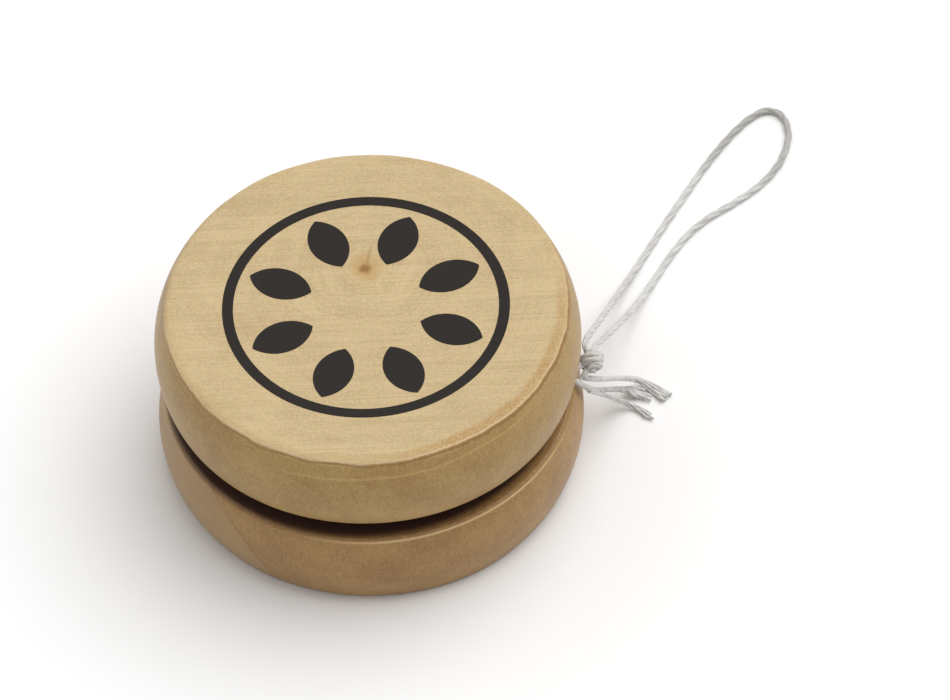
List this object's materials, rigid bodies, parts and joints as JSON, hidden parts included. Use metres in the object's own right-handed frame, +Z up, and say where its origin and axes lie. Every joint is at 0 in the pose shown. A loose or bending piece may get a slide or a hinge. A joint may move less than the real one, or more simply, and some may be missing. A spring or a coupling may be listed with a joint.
{
  "type": "yo-yo",
  "caption": "Turned wooden yo-yo lying flat: barrel-sided halves on a wooden axle, printed rosette on the face, wound cotton string ending in a tied finger loop.",
  "frame": {"origin": "centre of the lower half's flat face, on the surface that the yo-yo lies on", "axes": "+Z up along the axle, out of the printed face; +X to the side where the string leaves the gap; +Y away from the front"},
  "size_m": [0.0843, 0.0809, 0.0271],
  "materials": {
    "pale_wood": "satin",
    "tan_wood": "satin",
    "axle_wood": "matte",
    "ink": "matte",
    "string": "matte"
  },
  "bodies": {
    "finger_end": {"loop_knot": "string", "finger_loop": "string", "tail_long": "string", "tail_split": "string", "tail_strand": "string"},
    "string_run": {"string_lead": "string"},
    "wound_string": {"axle_eye": "string", "string_coil": "string"},
    "yo_yo": {"upper_half": "pale_wood", "lower_half": "tan_wood", "axle_dowel": "axle_wood", "printed_rosette": "ink"}
  },
  "joints": [
    {"name": "pay_out", "type": "slide", "parent": "finger_end", "child": "string_run", "axis": [-0.9197, -0.3926, 0], "range_m": [0, 0.865], "deforming": ["string_lead"]},
    {"name": "unwind_turn", "type": "hinge", "parent": "string_run", "child": "wound_string", "pos_m": [0, 0, 0.0135], "axis": [0, 0, 1], "range_deg": [0, 6480]},
    {"name": "axle_spin", "type": "hinge", "parent": "wound_string", "child": "yo_yo", "pos_m": [0, 0, 0.0135], "axis": [0, 0, 1], "continuous": true}
  ],
  "couplings": [
    {"joint": "unwind_turn", "follows": "pay_out", "rad_per_m": 130.75}
  ]
}
